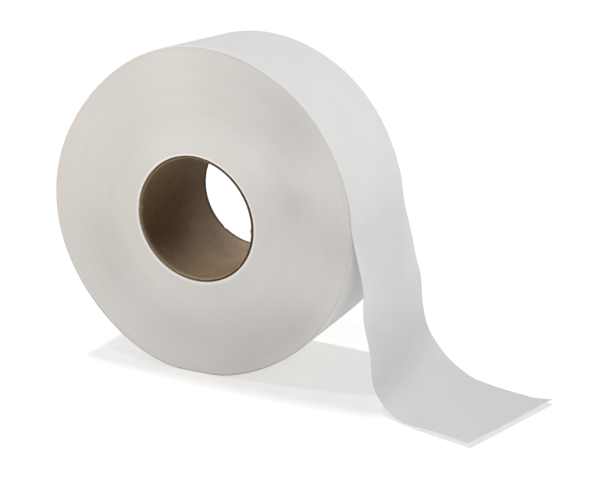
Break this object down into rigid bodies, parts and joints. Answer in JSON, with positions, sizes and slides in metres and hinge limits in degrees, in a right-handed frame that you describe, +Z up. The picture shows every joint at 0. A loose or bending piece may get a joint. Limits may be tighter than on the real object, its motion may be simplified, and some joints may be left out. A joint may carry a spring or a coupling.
{
  "type": "toilet paper roll",
  "caption": "Jumbo toilet paper roll lying on its side, wound on a wide kraft paperboard core, with a free tail that hangs and runs along the floor.",
  "frame": {"origin": "centre of the core's bore at mid-width", "axes": "+Y along the core's axis, +Z up, +X towards the side where the free tail hangs"},
  "size_m": [0.3484, 0.115, 0.2277],
  "materials": {
    "core_board": "matte uncoated kraft",
    "tissue": "soft matte two-ply tissue"
  },
  "bodies": {
    "root": {"core_tube": "core_board", "tissue_web": "tissue"}
  },
  "joints": []
}
